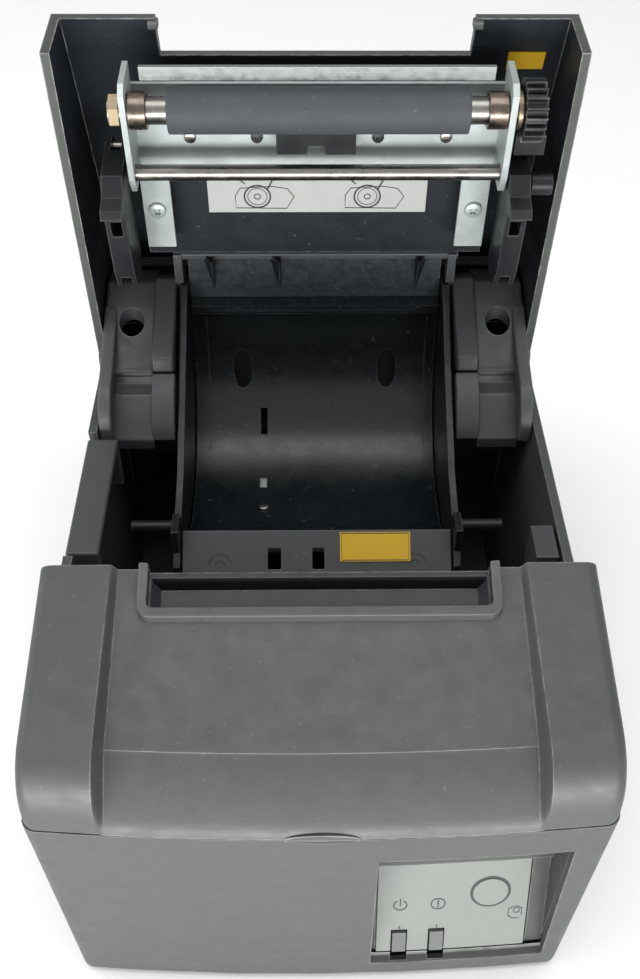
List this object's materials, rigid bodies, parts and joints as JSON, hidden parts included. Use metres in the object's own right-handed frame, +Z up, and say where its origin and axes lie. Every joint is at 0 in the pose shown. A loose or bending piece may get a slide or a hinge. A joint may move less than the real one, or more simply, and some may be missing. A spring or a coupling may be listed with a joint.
{
  "type": "receipt printer",
  "caption": "Thermal receipt printer for 80 mm paper, clamshell lid open, with platen, latches, print head, cutter and drive.",
  "frame": {"origin": "centre of the footprint of the whole printer with its lid open, at the height of the rubber feet's undersides", "axes": "+X to the right seen from the front, +Y from the front to the back, +Z up"},
  "size_m": [0.142, 0.213, 0.1959],
  "materials": {
    "case_plastic": "fine matte moulded plastic",
    "black_plastic": "moulded plastic",
    "gloss_black": "glossy moulded plastic",
    "bright_steel": "ground",
    "zinc_sheet": "zinc plated",
    "brass_parts": "turned",
    "roller_rubber": "ground rubber",
    "foot_rubber": "moulded rubber",
    "silver_sheet": "printed film",
    "white_film": "printed film",
    "yellow_film": "printed film",
    "board_green": "solder mask",
    "clear_plastic": "clear",
    "head_ceramic": "glazed",
    "alloy": "cast"
  },
  "bodies": {
    "base": {"lower_case": "case_plastic", "corner_block": "case_plastic", "foot_1": "foot_rubber", "foot_2": "foot_rubber", "foot_3": "foot_rubber", "foot_4": "foot_rubber", "top_frame": "case_plastic", "roll_holder": "gloss_black", "side_plate_left": "black_plastic", "side_plate_right": "black_plastic", "paper_guide": "case_plastic", "heat_label": "yellow_film", "tear_bar": "bright_steel", "cutter_bed": "zinc_sheet", "cutter_motor": "zinc_sheet", "feed_motor": "zinc_sheet", "main_board": "board_green", "power_supply": "zinc_sheet", "power_inlet": "black_plastic", "data_port": "bright_steel", "drawer_port": "black_plastic", "panel_plate": "silver_sheet", "light_pipe_power": "clear_plastic", "light_pipe_error": "clear_plastic", "panel_board": "board_green", "hinge_pin_left": "bright_steel", "hinge_pin_right": "bright_steel"},
    "front_cover": {"front_cover": "case_plastic"},
    "cutter": {"moving_blade": "bright_steel"},
    "head": {"print_head": "head_ceramic", "head_heat_sink": "alloy"},
    "drive": {"drive_gear": "black_plastic"},
    "pinion": {"motor_pinion": "brass_parts"},
    "switch": {"power_switch": "black_plastic"},
    "button": {"feed_button": "silver_sheet"},
    "lever": {"open_lever": "case_plastic"},
    "lid": {"lid_shell": "case_plastic", "lid_liner": "black_plastic", "loading_label": "white_film", "static_label": "yellow_film", "platen_frame": "zinc_sheet", "bearing_left": "bright_steel", "bearing_right": "bright_steel", "blade_bar": "bright_steel", "guide_shaft": "bright_steel", "paper_sensor": "black_plastic", "gear_bracket": "black_plastic", "frame_screw_left": "bright_steel", "frame_screw_right": "bright_steel", "latch_spring_left": "bright_steel", "latch_spring_right": "bright_steel"},
    "platen": {"platen_shaft": "bright_steel", "platen_rubber": "roller_rubber", "end_nut": "brass_parts", "washer": "brass_parts", "platen_gear": "black_plastic"},
    "idler": {"idler_roller": "black_plastic"},
    "latch": {"latch_arm_left": "black_plastic", "latch_arm_right": "black_plastic", "latch_shaft": "bright_steel"}
  },
  "joints": [
    {"name": "lid_hinge", "type": "hinge", "parent": "base", "child": "lid", "pos_m": [0, 0.0622, 0.0875], "axis": [1, 0, 0], "range_deg": [0, 85]},
    {"name": "front_cover_lift", "type": "slide", "parent": "base", "child": "front_cover", "axis": [0, 0, 1], "range_m": [0, 0.012]},
    {"name": "cutter_slide", "type": "slide", "parent": "base", "child": "cutter", "axis": [0, 1, 0], "range_m": [0, 0.006]},
    {"name": "head_tilt", "type": "hinge", "parent": "base", "child": "head", "pos_m": [0, -0.0233, 0.0635], "axis": [1, 0, 0], "range_deg": [0, 3]},
    {"name": "drive_turn", "type": "hinge", "parent": "base", "child": "drive", "pos_m": [0.06, -0.0362, 0.0652], "axis": [1, 0, 0], "continuous": true},
    {"name": "pinion_turn", "type": "hinge", "parent": "base", "child": "pinion", "pos_m": [0.06, -0.0504, 0.0624], "axis": [1, 0, 0], "continuous": true},
    {"name": "switch_rock", "type": "hinge", "parent": "base", "child": "switch", "pos_m": [-0.0626, -0.0718, 0.021], "axis": [0, 0, 1], "range_deg": [-16, 0]},
    {"name": "button_press", "type": "slide", "parent": "base", "child": "button", "axis": [0, 0.9483, -0.3173], "range_m": [0, 0.0007], "stiffness_N_per_m": 600},
    {"name": "lever_push", "type": "slide", "parent": "base", "child": "lever", "axis": [0, 1, 0], "range_m": [0, 0.0022], "stiffness_N_per_m": 500},
    {"name": "platen_turn", "type": "hinge", "parent": "lid", "child": "platen", "pos_m": [0, 0.04956, 0.17925], "axis": [1, 0, 0], "continuous": true},
    {"name": "idler_turn", "type": "hinge", "parent": "lid", "child": "idler", "pos_m": [0.06, 0.05217, 0.15629], "axis": [1, 0, 0], "continuous": true},
    {"name": "latch_swing", "type": "hinge", "parent": "lid", "child": "latch", "pos_m": [0, 0.06417, 0.16135], "axis": [1, 0, 0], "range_deg": [-5, 0]}
  ],
  "couplings": [
    {"joint": "pinion_turn", "follows": "drive_turn", "ratio": -2}
  ]
}
